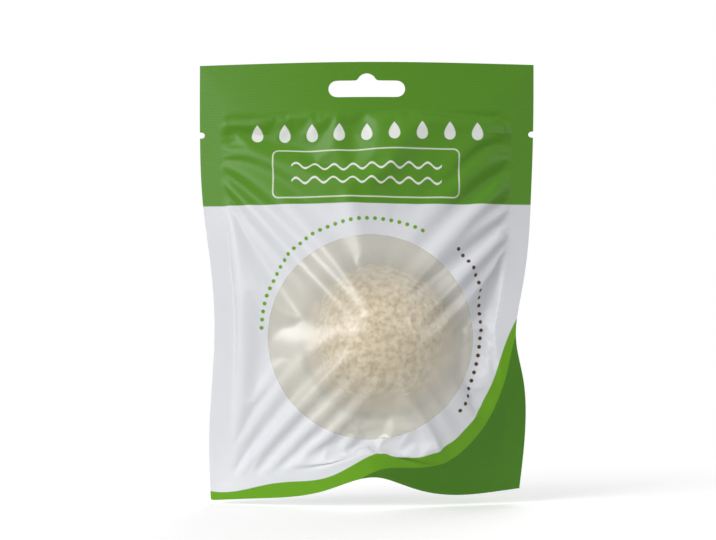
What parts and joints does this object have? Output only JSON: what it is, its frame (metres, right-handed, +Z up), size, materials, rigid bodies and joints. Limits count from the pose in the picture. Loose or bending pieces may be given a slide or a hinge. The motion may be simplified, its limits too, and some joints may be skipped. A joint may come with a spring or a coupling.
{
  "type": "konjac sponge in hang pouch",
  "caption": "Half-ball konjac face sponge sealed in a flat printed film pouch with a round clear window, tear notches and a hang slot.",
  "frame": {"origin": "axis of the shop peg, at the centre of the hang slot's round lobe, where the two webs meet", "axes": "+Z up along the pouch, the printed front faces -Y, X across its width"},
  "size_m": [0.1284, 0.0326, 0.1687],
  "materials": {
    "printed_film": "satin white print on film",
    "header_film": "satin green print on film",
    "clear_film": "hazy unprinted film",
    "sponge": "dry granular konjac fibre"
  },
  "bodies": {
    "pouch": {"front_panel": "printed_film", "front_window": "clear_film", "back_panel": "printed_film"},
    "header": {"header_front": "header_film", "header_back": "header_film"},
    "sponge": {"sponge": "sponge"}
  },
  "joints": [
    {"name": "header_tear", "type": "slide", "parent": "pouch", "child": "header", "axis": [0, 0, 1], "range_m": [0, 0.08]},
    {"name": "sponge_out", "type": "slide", "parent": "pouch", "child": "sponge", "axis": [0, 0, 1], "range_m": [0, 0.112], "deforming": ["front_panel", "front_window", "back_panel"]}
  ],
  "couplings": [
    {"joint": "sponge_out", "follows": "header_tear", "ratio": 1.4}
  ]
}
